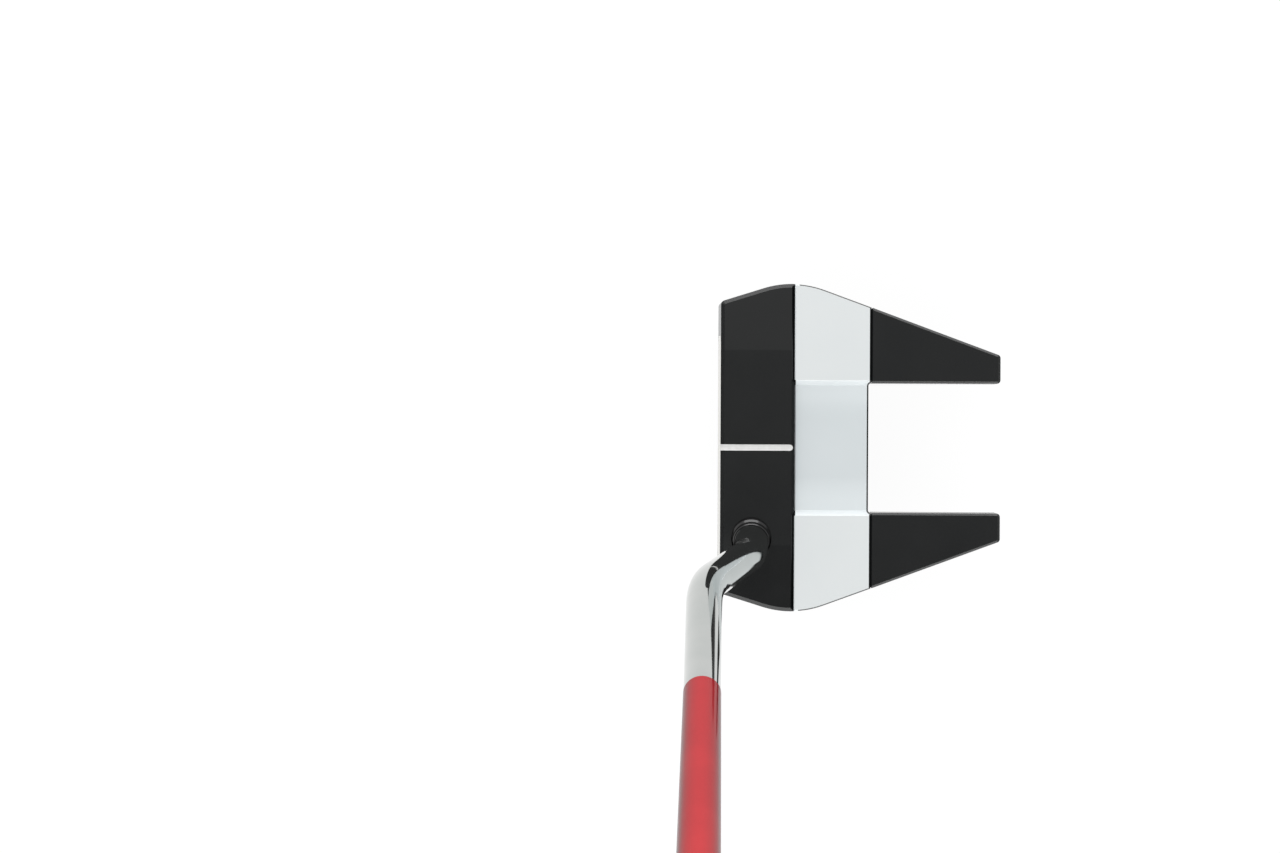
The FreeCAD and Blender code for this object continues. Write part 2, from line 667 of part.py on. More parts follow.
def draw_tongue(sketch, side, gap):
    """Plan of the tongue that joins a wing to the bridge's underside."""
    near = f"(Dims.tongue_inner - {gap})"
    far = f"(Dims.tongue_outer + {gap})"
    low, high = (near, far) if side > 0 else (minus(far), minus(near))
    past_seam = "(Dims.wing_seam + 2 * Dims.tongue_round)"
    rounded_rectangle(sketch, f"(Dims.tongue_front - {gap})", low, past_seam, high, "Dims.tongue_round")


def make_wing(side, label):
    """One black wing (fang): straight sides, swept-up underside, tongue under the bridge."""
    body = new_body(label)
    outline = new_sketch(body, label + "_outline", "XY_Plane")
    corners = [
        ("Dims.wing_seam", "Dims.wing_inner"),
        ("Dims.wing_tip", "Dims.wing_inner"),
        ("Dims.wing_tip", rear_outline("Dims.wing_tip")),
        ("Dims.wing_seam", rear_outline("Dims.wing_seam")),
    ]
    if side < 0:
        corners = [(x, minus(y)) for x, y in reversed(corners)]
    draw_outline(outline, corners)
    pad(body, outline, "Dims.head_height")
    sweep = new_sketch(body, label + "_sweep", "XZ_Plane")
    past_tip = "(Dims.wing_tip + Dims.overcut)"
    rise = f"({past_tip} - Dims.wing_seam) * tan(Dims.wing_sole_rise)"
    draw_outline(
        sweep,
        (
            ("Dims.wing_seam", "-Dims.overcut"),
            (past_tip, "-Dims.overcut"),
            (past_tip, rise),
            ("Dims.wing_seam", "0"),
        ),
    )
    cut(body, sweep, ACROSS_HEAD, both_ways=True)
    top = size("Dims.head_height")
    tip = size("Dims.wing_tip")
    seam = size("Dims.wing_seam")
    dress(
        body,
        "Fillet",
        "Dims.wing_tip_round",
        lambda edge: lies_at(edge, "X", tip) and edge.BoundBox.ZLength > top / 2,
        label + "_tip_rounds",
    )
    dress(
        body,
        "Chamfer",
        "Dims.wing_edge_bevel",
        lambda edge: lies_at(edge, "Z", top) and not lies_at(edge, "X", seam),
        label + "_top_bevel",
    )
    dress(
        body,
        "Chamfer",
        "Dims.wing_seam_bevel",
        lambda edge: lies_at(edge, "X", seam) and edge.BoundBox.ZMax > top / 2,
        label + "_seam_bevel",
    )
    tongue = new_sketch(body, label + "_tongue", "XY_Plane")
    draw_tongue(tongue, side, "0")
    pad(body, tongue, "Dims.ledge_height")
    for number, place in enumerate(wing_screws(side)):
        screw_passage(body, f"{label}_screw_{number}", place)
    return body


# ---- Screws, weights and seals -------------------------------------------------------------------
def make_screw(name, x, y):
    """One socket-head screw, head down in its counterbore."""
    head = doc.addObject("Part::Cylinder", name + "_head")
    head.setExpression("Radius", "Dims.screw_head_radius")
    head.setExpression("Height", "Dims.screw_head_height")
    shank = doc.addObject("Part::Cylinder", name + "_shank")
    shank.setExpression("Radius", "Dims.screw_radius")
    shank.setExpression("Height", "Dims.screw_head_height + Dims.screw_length")
    whole = doc.addObject("Part::Fuse", name + "_whole")
    whole.Base = head
    whole.Tool = shank
    socket = doc.addObject("Part::Prism", name + "_socket")
    socket.Polygon = 6
    socket.setExpression("Circumradius", "Dims.screw_socket / sqrt(3)")
    socket.setExpression("Height", "Dims.screw_head_height / 2")
    screw = doc.addObject("Part::Cut", name)
    screw.Base = whole
    screw.Tool = socket
    screw.setExpression("Placement.Base.x", x)
    screw.setExpression("Placement.Base.y", y)
    screw.setExpression("Placement.Base.z", "Dims.screw_recess - Dims.screw_head_height")
    return screw


def make_screw_group(label, places):
    group = doc.addObject("Part::Compound", label)
    group.Label = label
    group.Links = [make_screw(f"{label}_{number}", x, y) for number, (x, y) in enumerate(places)]
    subparts.append(group)
    return group


def make_weight(side, label):
    """A round sole weight with a threaded stud and a hexagon socket."""
    body = new_body(label)
    body.setExpression("Placement.Base.x", "Dims.port_place")
    body.setExpression("Placement.Base.y", f"{side} * Dims.port_side")
    body.setExpression("Placement.Base.z", "Dims.weight_recess")
    head = new_sketch(body, label + "_head", "XY_Plane")
    draw_circle(head, "0", "0", "Dims.weight_radius")
    pad(body, head, "Dims.weight_head")
    stud = new_sketch(body, label + "_stud", "XY_Plane")
    draw_circle(stud, "0", "0", "Dims.stud_radius")
    pad(body, stud, "Dims.weight_head + Dims.stud_length")
    top = size("Dims.weight_head + Dims.stud_length")
    dress(
        body,
        "Chamfer",
        "Dims.weight_bevel",
        lambda edge: lies_at(edge, "Z", 0) or lies_at(edge, "Z", top),
        label + "_rims",
    )
    socket = new_sketch(body, label + "_socket", "XY_Plane")
    draw_hexagon(socket, "Dims.weight_socket")
    cut(body, socket, "Dims.weight_socket_depth", reverse=True)
    return body


def make_seal(side, label):
    """A rubber washer between a weight's head and the bottom of its port."""
    outer = doc.addObject("Part::Cylinder", label + "_outer")
    outer.setExpression("Radius", "Dims.seal_outer")
    outer.setExpression("Height", "Dims.seal_height")
    inner = doc.addObject("Part::Cylinder", label + "_inner")
    inner.setExpression("Radius", "Dims.seal_inner")
    inner.setExpression("Height", "Dims.seal_height")
    seal = doc.addObject("Part::Cut", label)
    seal.Base = outer
    seal.Tool = inner
    seal.Label = label
    seal.setExpression("Placement.Base.x", "Dims.port_place")
    seal.setExpression("Placement.Base.y", f"{side} * Dims.port_side")
    play = "(Dims.port_depth - Dims.weight_recess - Dims.weight_head - Dims.seal_height) / 2"
    seal.setExpression("Placement.Base.z", f"Dims.port_depth - Dims.seal_height - {play}")
    subparts.append(seal)
    return seal


# ---- Shaft ---------------------------------------------------------------------------------------
def shaft_direction():
    lean = math.radians(90 - size("Dims.lie"))
    return Vector(0, -math.sin(lean), math.cos(lean))


def tube_start():
    """Centre of the joint between the steel tip and the upper tube."""
    elbow = Vector(size("Dims.elbow_place"), size("Dims.elbow_side"), size("Dims.elbow_height"))
    return elbow + shaft_direction() * size("Dims.steel_run")


def on_shaft(body, distance=0.0):
    """Place a body on the main axis: its Z runs up the shaft, its Y to the grip's flat front."""
    turn = Rotation(Vector(1, 0, 0), 90 - size("Dims.lie"))
    body.Placement = Placement(tube_start() + shaft_direction() * distance, turn)


def bore_point(distance):
    """A point on the bore's axis, above (or below) where it meets the head's top."""
    mouth = Vector(size("Dims.bore_place"), size("Dims.bore_side"), size("Dims.head_height"))
    return mouth + shaft_direction() * distance


def rounded_path(points, radii):
    """Straight runs joined by tangent arcs, one radius for each inner point."""
    edges = []
    begin = points[0]
    for before, corner, after, radius in zip(points, points[1:], points[2:], radii):
        back = (before - corner).normalize()
        ahead = (after - corner).normalize()
        half = back.getAngle(ahead) / 2
        reach = radius / math.tan(half)
        start = corner + back * reach
        finish = corner + ahead * reach
        middle_way = (back + ahead).normalize()
        middle = corner + middle_way * (radius / math.sin(half) - radius)
        edges.append(Part.makeLine(begin, start))
        edges.append(Part.Arc(start, middle, finish).toShape())
        begin = finish
    edges.append(Part.makeLine(begin, points[-1]))
    return Part.Wire(edges)


def sweep_circle(path, radius):
    start = path.Edges[0].Vertexes[0].Point
    ahead = path.Edges[0].tangentAt(path.Edges[0].FirstParameter)
    ring = Part.Wire([Part.makeCircle(radius, start, ahead)])
    return path.makePipeShell([ring], True, True)


def make_shaft_tip():
    """The steel lower end: a run in the bore, two opposite bends, a spigot for the upper tube."""
    foot = bore_point(size("Dims.tip_gap - Dims.bore_depth"))
    first = bore_point(size("(Dims.first_bend_height - Dims.head_height) / sin(Dims.lie)"))
    elbow = Vector(size("Dims.elbow_place"), size("Dims.elbow_side"), size("Dims.elbow_height"))
    joint = tube_start()
    bends = (size("Dims.lower_bend_radius"), size("Dims.upper_bend_radius"))
    path = rounded_path([foot, first, elbow, joint], bends)
    radius = size("Dims.steel_radius")
    wall = size("Dims.steel_wall")
    ahead = shaft_direction()
    spigot = Part.makeCylinder(size("Dims.spigot_radius"), size("Dims.spigot_length"), joint, ahead)
    end_wall = size("Dims.tip_end_wall")
    reach = end_wall + size("Dims.overcut")
    spigot_bore = Part.makeCylinder(
        size("Dims.spigot_radius") - wall,
        size("Dims.spigot_length") + 2 * reach,
        joint - ahead * reach,
        ahead,
    )
    outside = sweep_circle(path, radius).fuse(spigot)
    hollow_path = rounded_path([foot, first, elbow, joint - ahead * end_wall], bends)
    shape = outside.cut(sweep_circle(hollow_path, radius - wall)).cut(spigot_bore)
    feature = doc.addObject("Part::Feature", "shaft_tip")
    feature.Label = "shaft_tip"
    feature.Shape = shape.removeSplitter()
    feature.Placement = Placement()
    subparts.append(feature)
    return feature


def make_tip_plug():
    """A small plug that closes the steel tip's lower end."""
    plug = doc.addObject("Part::Cylinder", "tip_plug")
    plug.Label = "tip_plug"
    plug.setExpression("Radius", "Dims.steel_radius - Dims.steel_wall - Dims.fit_gap")
    plug.setExpression("Height", "Dims.plug_length")
    lean = Rotation(Vector(1, 0, 0), 90 - size("Dims.lie"))
    plug.Placement = Placement(bore_point(size("2 * Dims.tip_gap - Dims.bore_depth")), lean)
    subparts.append(plug)
    return plug


def revolve(body, sketch, kind="Revolution"):
    axis = next(item for item in body.Origin.OriginFeatures if item.Role == "Z_Axis")
    feature = body.newObject(f"PartDesign::{kind}", f"{sketch.Name}_{kind}")
    feature.Profile = sketch
    feature.ReferenceAxis = (axis, [""])
    feature.Angle = 360
    doc.recompute()
    return feature


def tube_radius(distance):
    """Outer radius of the upper tube at a distance above the joint."""
    slope = "(Dims.tube_butt_radius - Dims.tube_tip_radius) / Dims.tube_taper_length"
    return f"(min(Dims.tube_tip_radius + {distance} * {slope}; Dims.tube_butt_radius))"


def make_shaft_tube():
    """The tapered upper tube, hollow, with a socket for the steel spigot."""
    body = new_body("shaft_tube")
    sketch = new_sketch(body, "tube_profile", "XZ_Plane")
    inner_butt = "Dims.tube_butt_radius - Dims.tube_wall"
    corners = (
        ("Dims.socket_radius", "0"),
        ("Dims.tube_tip_radius", "0"),
        ("Dims.tube_butt_radius", "Dims.tube_taper_length"),
        ("Dims.tube_butt_radius", "Dims.tube_length"),
        (inner_butt, "Dims.tube_length"),
        (inner_butt, "Dims.tube_taper_length"),
        ("Dims.socket_radius", "Dims.socket_depth"),
    )
    draw_outline(sketch, corners)
    revolve(body, sketch)
    on_shaft(body)
    return body


def make_butt_weight():
    """A steel slug inside the tube's upper end, under the cap."""
    body = new_body("butt_weight")
    sketch = new_sketch(body, "butt_weight_outline", "XY_Plane")
    draw_circle(sketch, "0", "0", "Dims.butt_weight_radius")
    pad(body, sketch, "Dims.butt_weight_length")
    dress(
        body,
        "Chamfer",
        "Dims.butt_weight_bevel",
        lambda edge: edge.BoundBox.ZLength < SLACK,
        "butt_weight_rims",
    )
    on_shaft(body, size("Dims.tube_length - Dims.butt_weight_gap - Dims.butt_weight_length"))
    return body


# ---- Grip ----------------------------------------------------------------------------------------
GRIP_START = "(Dims.tube_length - Dims.grip_length)"
TAPER_END = f"(Dims.tube_taper_length - {GRIP_START})"


def sleeve_profile(sketch, inner_gap, outer_gap):
    """Half section of a sleeve on the tube, with its walls at two distances from the tube."""
    mouth = tube_radius(GRIP_START)
    corners = (
        (f"{mouth} + {inner_gap}", "0"),
        (f"{mouth} + {outer_gap}", "0"),
        (f"Dims.tube_butt_radius + {outer_gap}", TAPER_END),
        (f"Dims.tube_butt_radius + {outer_gap}", "Dims.grip_length"),
        (f"Dims.tube_butt_radius + {inner_gap}", "Dims.grip_length"),
        (f"Dims.tube_butt_radius + {inner_gap}", TAPER_END),
    )
    draw_outline(sketch, corners)


def make_grip_tape():
    """The tape wound on the tube under the grip."""
    body = new_body("grip_tape")
    sketch = new_sketch(body, "tape_profile", "XZ_Plane")
    sleeve_profile(sketch, "Dims.tape_gap", "(Dims.tape_gap + Dims.tape_thickness)")
    revolve(body, sketch)
    on_shaft(body, size(GRIP_START))
    return body


def draw_grip_section(sketch, section, inset):
    """A D-shaped section: flat front at +Y, straight sides, half-round back."""
    _, half_width, front, back, corner = section
    wide = f"({half_width} - {inset})"
    flat = f"({front} - {inset})"
    round_corner = f"({corner} - {inset})"
    back_centre = f"({half_width} - {back})"
    shoulder = f"({flat} - {round_corner})"
    inner_x = f"({wide} - {round_corner})"
    corners = (
        (wide, back_centre),
        (wide, shoulder),
        (inner_x, flat),
        (minus(inner_x), flat),
        (minus(wide), shoulder),
        (minus(wide), back_centre),
    )
    arcs = {
        1: (inner_x, shoulder, False),
        3: (minus(inner_x), shoulder, False),
        5: ("0", back_centre, False),
    }
    draw_outline(sketch, corners, arcs)


def grip_loft(body, name, inset, kind):
    """A loft through the grip's sections, all drawn in by the same amount."""
    sketches = []
    for number, section in enumerate(GRIP_SECTIONS):
        sketch = new_sketch(body, f"{name}_section_{number}", "XY_Plane", section[0])
        draw_grip_section(sketch, section, inset)
        sketches.append(sketch)
    doc.recompute()
    loft = body.newObject(f"PartDesign::{kind}", name + "_loft")
    loft.Profile = sketches[0]
    loft.Sections = sketches[1:]
    doc.recompute()
    return loft


def make_grip_core():
    """The light foam body of the grip."""
    body = new_body("grip_core")
    grip_loft(body, "core", "(Dims.skin_thickness + Dims.tape_gap)", "AdditiveLoft")
    solid = body.Shape.Volume
    sketch = new_sketch(body, "core_bore", "XZ_Plane")
    mouth = tube_radius(GRIP_START)
    gap = "(2 * Dims.tape_gap + Dims.tape_thickness)"
    corners = (
        ("0", "-Dims.overcut"),
        (f"{mouth} + {gap}", "-Dims.overcut"),
        (f"{mouth} + {gap}", "0"),
        (f"Dims.tube_butt_radius + {gap}", TAPER_END),
        (f"Dims.tube_butt_radius + {gap}", "Dims.grip_length + Dims.overcut"),
        ("0", "Dims.grip_length + Dims.overcut"),
    )
    draw_outline(sketch, corners)
    revolve(body, sketch, "Groove")
    if body.Shape.Volume > 0.9 * solid:
        raise RuntimeError("core_bore cuts nothing")
    on_shaft(body, size(GRIP_START))
    return body


def make_grip_skin():
    """The thin outer skin of the grip."""
    body = new_body("grip_skin")
    grip_loft(body, "skin", "0", "AdditiveLoft")
    solid = body.Shape.Volume
    grip_loft(body, "skin_inside", "Dims.skin_thickness", "SubtractiveLoft")
    if body.Shape.Volume > 0.5 * solid:
        raise RuntimeError("skin_inside cuts nothing")
    on_shaft(body, size(GRIP_START))
    return body


def make_grip_cap():
    """The butt cap: a D-shaped plate with a plug in the tube and a vent hole."""
    body = new_body("grip_cap")
    plate = new_sketch(body, "cap_plate", "XY_Plane")
    draw_grip_section(plate, GRIP_SECTIONS[-1], "0")
    pad(body, plate, "Dims.cap_height")
    top = size("Dims.cap_height")
    dress(body, "Fillet", "Dims.cap_round", lambda edge: lies_at(edge, "Z", top), "cap_rim")
    plug = new_sketch(body, "cap_plug", "XY_Plane")
    draw_circle(plug, "0", "0", "Dims.tube_butt_radius - Dims.tube_wall - Dims.fit_gap")
    pad(body, plug, "Dims.cap_plug", reverse=True)
    vent = new_sketch(body, "cap_vent", "XY_Plane", "Dims.cap_height")
    draw_circle(vent, "0", "0", "Dims.vent_radius")
    cut(body, vent, "Dims.cap_height + Dims.cap_plug")
    on_shaft(body, size("Dims.tube_length"))
    return body


# ---- Assembly ------------------------------------------------------------------------------------
make_front_body()
make_insert_layer("face_insert", f"({LEADING_X} - Dims.overcut)", "Dims.insert_split", True)
make_insert_layer("insert_core", "Dims.insert_split", "Dims.insert_floor", False)
make_sight_line()
make_shaft_collar()
make_centre_bridge()
make_wing(1, "toe_wing")
make_wing(-1, "heel_wing")
make_screw_group("bridge_screws", BRIDGE_SCREWS)
make_screw_group("wing_screws", wing_screws(1) + wing_screws(-1))
make_weight(1, "toe_weight")
make_weight(-1, "heel_weight")
make_seal(1, "toe_weight_seal")
make_seal(-1, "heel_weight_seal")
make_shaft_tip()
make_tip_plug()
make_shaft_tube()
make_butt_weight()
make_grip_tape()
make_grip_core()
make_grip_skin()
make_grip_cap()
doc.recompute()

failed = [item.Name for item in doc.Objects if "Invalid" in item.State or "Error" in item.State]
for piece in subparts:
    if piece.Shape.isNull() or not piece.Shape.isValid() or not piece.Shape.Solids:
        failed.append(piece.Label)
if failed:
    raise RuntimeError(f"not built: {failed}")

os.makedirs("parts", exist_ok=True)
for piece in subparts:
    piece.Shape.exportStep(f"parts/{piece.Label}.step")
    box = piece.Shape.BoundBox
    print(f"{piece.Label}: {len(piece.Shape.Solids)} solid(s), {piece.Shape.Volume:.1f} mm3, {box}")
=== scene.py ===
import json
import math

import bmesh
import bpy
from mathutils import Matrix, Vector
from mathutils.bvhtree import BVHTree


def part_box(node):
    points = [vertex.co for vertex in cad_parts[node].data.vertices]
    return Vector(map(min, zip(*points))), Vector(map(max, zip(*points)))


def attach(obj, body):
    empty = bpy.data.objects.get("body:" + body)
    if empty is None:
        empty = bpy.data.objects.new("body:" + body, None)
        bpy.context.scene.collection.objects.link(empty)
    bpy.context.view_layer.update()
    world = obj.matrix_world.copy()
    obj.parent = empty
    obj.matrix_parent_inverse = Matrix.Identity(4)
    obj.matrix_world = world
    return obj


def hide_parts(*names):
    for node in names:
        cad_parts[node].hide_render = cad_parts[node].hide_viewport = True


# Looks of a fang-style mallet putter. Metres; +X is the back of the head, +Y the toe, +Z up.
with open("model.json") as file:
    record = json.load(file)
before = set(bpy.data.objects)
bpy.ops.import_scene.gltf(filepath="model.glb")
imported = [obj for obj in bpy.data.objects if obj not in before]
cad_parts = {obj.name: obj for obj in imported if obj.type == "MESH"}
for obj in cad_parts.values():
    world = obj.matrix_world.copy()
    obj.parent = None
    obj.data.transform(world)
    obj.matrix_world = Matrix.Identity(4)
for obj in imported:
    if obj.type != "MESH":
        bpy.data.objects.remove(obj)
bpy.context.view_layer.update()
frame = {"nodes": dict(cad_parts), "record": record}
scene = bpy.context.scene
LIE = math.radians(70.0)


# ---- Places on the head --------------------------------------------------------------------------
def box(node):
    """A node's lowest and highest corners."""
    low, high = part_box(node)
    return Vector(low), Vector(high)


head_top = box("front_body")[1].z
bridge_low, bridge_high = box("centre_bridge")
# Heights of the channel's floor, and of the band on its walls where its darker, bluer white gives
# way; on the walls below that band the darker white is painted shade.
CHANNEL_FLOOR = head_top - 0.0014
WALL_BAND = (CHANNEL_FLOOR + 0.0011, CHANNEL_FLOOR + 0.00136)
# The floor looks dished between these two distances from the sight line, and there its white turns
# lighter toward the walls: painted light.
DISH_START = 0.008
DISH_END = 0.0172
DISH_DEPTH = 0.0012
# Where the pads' outer bevels are black: outside the channel and behind the front seam's bevel.
BEVEL_BLACK_SIDE = 0.0206
BEVEL_BLACK_FRONT = bridge_low.x + 0.0012
# Where the black of the wing seams starts.
SEAM_BLACK_FRONT = bridge_high.x - 0.00045
# The black rim on the gap: where the gap's corners start to curve, and its reach from their
# centres, which lie level with the wing seams.
GAP_ROUND_START = 0.01705
GAP_BLACK = 0.00117


# ---- Node helpers --------------------------------------------------------------------------------
class Shader:
    """A material's node tree, with short calls for the few node types used here."""

    def __init__(self, name):
        self.material = bpy.data.materials.new(name)
        self.material.use_nodes = True
        self.tree = self.material.node_tree
        self.surface = self.tree.nodes["Principled BSDF"]
        self.place = self.tree.nodes.new("ShaderNodeTexCoord").outputs["Object"]

    def node(self, kind, **values):
        node = self.tree.nodes.new(kind)
        for name, value in values.items():
            setattr(node, name, value)
        return node

    def link(self, source, target):
        self.tree.links.new(source, target)

    def stretched(self, scale):
        """Object coordinates, scaled by axis."""
        mapping = self.node("ShaderNodeMapping")
        mapping.inputs["Scale"].default_value = scale
        self.link(self.place, mapping.inputs["Vector"])
        return mapping.outputs["Vector"]

    def noise(self, scale, detail=3.0, vector=None):
        noise = self.node("ShaderNodeTexNoise")
        noise.inputs["Scale"].default_value = scale
        noise.inputs["Detail"].default_value = detail
        self.link(vector or self.place, noise.inputs["Vector"])
        return noise.outputs["Fac"]

    def voronoi(self, scale):
        cells = self.node("ShaderNodeTexVoronoi")
        cells.inputs["Scale"].default_value = scale
        self.link(self.place, cells.inputs["Vector"])
        return cells.outputs["Distance"]

    def ramp(self, factor, stops):
        """Eased between (position, colour or grey) stops."""
        ramp = self.node("ShaderNodeValToRGB")
        ramp.color_ramp.interpolation = "EASE"
        elements = ramp.color_ramp.elements
        while len(elements) < len(stops):
            elements.new(0.5)
        for element, (position, shade) in zip(elements, stops):
            colour = shade if isinstance(shade, tuple) else (shade, shade, shade)
            element.position = position
            element.color = (*colour, 1.0)
        self.link(factor, ramp.inputs["Fac"])
        return ramp.outputs["Color"]

    def to_range(self, factor, low, high, from_low=0.0, from_high=1.0):
        mapped = self.node("ShaderNodeMapRange")
        mapped.inputs["From Min"].default_value = from_low
        mapped.inputs["From Max"].default_value = from_high
        mapped.inputs["To Min"].default_value = low
        mapped.inputs["To Max"].default_value = high
        self.link(factor, mapped.inputs["Value"])
        return mapped.outputs["Result"]

    def beyond(self, value, edge, blur=0.00006):
        """0 below an edge, 1 above it, with a hair's breadth between."""
        return self.to_range(value, 0.0, 1.0, edge - blur / 2, edge + blur / 2)

    def normal_z(self):
        """How far the real surface faces up, in the object's own frame."""
        facing = self.node("ShaderNodeTexCoord").outputs["Normal"]
        split = self.node("ShaderNodeSeparateXYZ")
        self.link(facing, split.inputs["Vector"])
        return split.outputs["Z"]

    def axis(self, name):
        """One object coordinate, in metres."""
        split = self.node("ShaderNodeSeparateXYZ")
        self.link(self.place, split.inputs["Vector"])
        return split.outputs[name]

    def math(self, operation, first, second=None):
        node = self.node("ShaderNodeMath", operation=operation)
        for socket, value in zip(node.inputs, (first, second)):
            if value is None:
                continue
            if isinstance(value, (int, float)):
                socket.default_value = value
            else:
                self.link(value, socket)
        return node.outputs["Value"]

    def mix(self, factor, first, second, blend="MIX"):
        node = self.node("ShaderNodeMix", data_type="RGBA", blend_type=blend)
        colours = [socket for socket in node.inputs if socket.type == "RGBA"]
        for socket, value in zip([node.inputs["Factor"], *colours], (factor, first, second)):
            if isinstance(value, (int, float)):
                socket.default_value = value
            elif isinstance(value, tuple):
                socket.default_value = (*value, 1.0)
            else:
                self.link(value, socket)
        return next(socket for socket in node.outputs if socket.type == "RGBA")

    def bump(self, height, depth, strength=1.0, under=None):
        node = self.node("ShaderNodeBump")
        node.inputs["Distance"].default_value = depth
        node.inputs["Strength"].default_value = strength
        self.link(height, node.inputs["Height"])
        if under is not None:
            self.link(under, node.inputs["Normal"])
        return node.outputs["Normal"]

    def set(self, **sockets):
        names = {
            "colour": "Base Color",
            "roughness": "Roughness",
            "metallic": "Metallic",
            "normal": "Normal",
            "specular": "Specular IOR Level",
            "tint": "Specular Tint",
            "coat": "Coat Weight",
            "coat_roughness": "Coat Roughness",
            "coat_ior": "Coat IOR",
        }
        for key, value in sockets.items():
            socket = self.surface.inputs[names[key]]
            if isinstance(value, (int, float)):
                socket.default_value = value
            elif isinstance(value, tuple):
                socket.default_value = (*value, 1.0)
            else:
                self.link(value, socket)
        return self.material


# ---- Materials -----------------------------------------------------------------------------------
DARK_BLACK = (0.0040, 0.0050, 0.0053)
LIGHT_BLACK = (0.0066, 0.0074, 0.0076)
WARM_WHITES = ((0.3, (0.775, 0.812, 0.818)), (0.7, (0.797, 0.830, 0.834)))
# The channel's darker, bluer white; on the channel's walls it is painted shade.
CHANNEL_WHITES_AND_WALL_SHADE = ((0.3, (0.690, 0.742, 0.757)), (0.7, (0.710, 0.757, 0.775)))
# Painted light: the lighter white on the channel's floor near the foot of its walls.
CHANNEL_PAINTED_LIGHT = (0.80, 0.855, 0.873)


def mottled_black(s, tint=1.0):
    """Near-black with faint broad patches."""
    dark = tuple(channel * tint for channel in DARK_BLACK)
    light = tuple(channel * tint for channel in LIGHT_BLACK)
    return s.ramp(s.noise(38.0, 4.0), ((0.25, dark), (0.75, light)))


def black_satin(name, tint=1.0):
    """Black coat on bead-blasted metal, with its fine grain."""
    s = Shader(name)
    grain = s.bump(s.noise(5200.0, 2.0), 0.000008, 0.35)
    rough = s.to_range(s.noise(120.0, 5.0), 0.20, 0.27)
    return s.set(colour=mottled_black(s, tint), roughness=rough, normal=grain, specular=0.5)


def bridge_finish():
    """Glossy white on top, darker and bluer in the channel (painted shade on its walls, painted
    light near their feet); the outer rims, ends and underside stay black.
    """
    s = Shader("bridge_finish")
    across = s.math("ABSOLUTE", s.axis("Y"))
    drift = s.noise(30.0, 3.0)
    sunk = s.to_range(s.axis("Z"), 1.0, 0.0, *WALL_BAND)
    dish_and_painted_light = s.to_range(across, 0.0, 1.0, DISH_START, DISH_END)
    on_floor = s.math("SUBTRACT", 1.0, s.beyond(s.axis("Z"), CHANNEL_FLOOR + 0.0001))
    # Painted light: the channel's floor is painted a lighter white toward the foot of its walls.
    channel = s.mix(s.math("MULTIPLY", dish_and_painted_light, on_floor), s.ramp(drift, CHANNEL_WHITES_AND_WALL_SHADE), CHANNEL_PAINTED_LIGHT)
    # Painted shade: the channel's darker, bluer white reaches up its walls to below the wall band.
    white = s.mix(sunk, s.ramp(drift, WARM_WHITES), channel)

    outside = s.beyond(across, BEVEL_BLACK_SIDE)
    behind = s.beyond(s.axis("X"), BEVEL_BLACK_FRONT)
    sloping = s.math("SUBTRACT", 1.0, s.beyond(s.normal_z(), 0.85, 0.02))
    bevelled = s.math("MULTIPLY", s.math("MULTIPLY", outside, behind), sloping)
    ahead = s.math("SUBTRACT", bridge_high.x, s.axis("X"))
    aside = s.math("MAXIMUM", s.math("SUBTRACT", across, GAP_ROUND_START), 0.0)
    squares = s.math("ADD", s.math("MULTIPLY", ahead, ahead), s.math("MULTIPLY", aside, aside))
    lip = s.math("SUBTRACT", 1.0, s.beyond(s.math("SQRT", squares), GAP_BLACK))
    rear = s.math("MAXIMUM", lip, s.beyond(s.axis("X"), SEAM_BLACK_FRONT))
    upright = s.math("SUBTRACT", 1.0, s.beyond(s.normal_z(), 0.60, 0.02))
    bare = s.math("MAXIMUM", s.math("MAXIMUM", rear, bevelled), upright)

    colour = s.mix(bare, white, mottled_black(s))
    rough = s.to_range(s.noise(90.0, 3.0), 0.16, 0.24)
    peel = s.bump(s.noise(900.0, 2.0), 0.00001, 0.35)
    dished = s.bump(s.math("POWER", dish_and_painted_light, 2.0), DISH_DEPTH, 1.0, peel)
    return s.set(colour=colour, roughness=rough, normal=dished, coat=0.4, coat_roughness=0.08)


def sight_paint():
    """White paint that dips along the middle of its groove."""
    s = Shader("sight_paint")
    colour = s.ramp(s.noise(900.0, 3.0), ((0.3, (0.76, 0.76, 0.75)), (0.7, (0.84, 0.84, 0.83))))
    across = s.math("DIVIDE", s.axis("Y"), box("sight_line")[1].y)
    dip = s.math("POWER", s.math("ABSOLUTE", across), 3.0)
    grain = s.bump(s.noise(2500.0), 0.00002)
    rough = s.to_range(s.noise(400.0), 0.26, 0.36)
    return s.set(colour=colour, roughness=rough, normal=s.bump(dip, 0.00025, 1.0, grain))


def urethane():
    """The pale striking layer: an even colour under a fine cast pebble."""
    s = Shader("urethane")
    broad = s.ramp(s.noise(55.0, 2.0), ((0.3, (0.715, 0.708, 0.672)), (0.7, (0.735, 0.727, 0.692))))
    speck = s.ramp(s.noise(2600.0, 3.0), ((0.35, 0.95), (0.65, 1.0)))
    colour = s.mix(1.0, broad, speck, "MULTIPLY")
    rough = s.to_range(s.noise(700.0), 0.34, 0.46)
    pebble = s.bump(s.voronoi(1300.0), 0.00004, 0.5)
    return s.set(colour=colour, roughness=rough, normal=pebble)


def firm_core():
    """The darker rubber behind the striking layer."""
    s = Shader("firm_core")
    colour = s.ramp(s.noise(300.0), ((0.3, (0.08, 0.085, 0.09)), (0.7, (0.11, 0.115, 0.12))))
    return s.set(colour=colour, roughness=0.5, normal=s.bump(s.noise(2000.0), 0.00002))


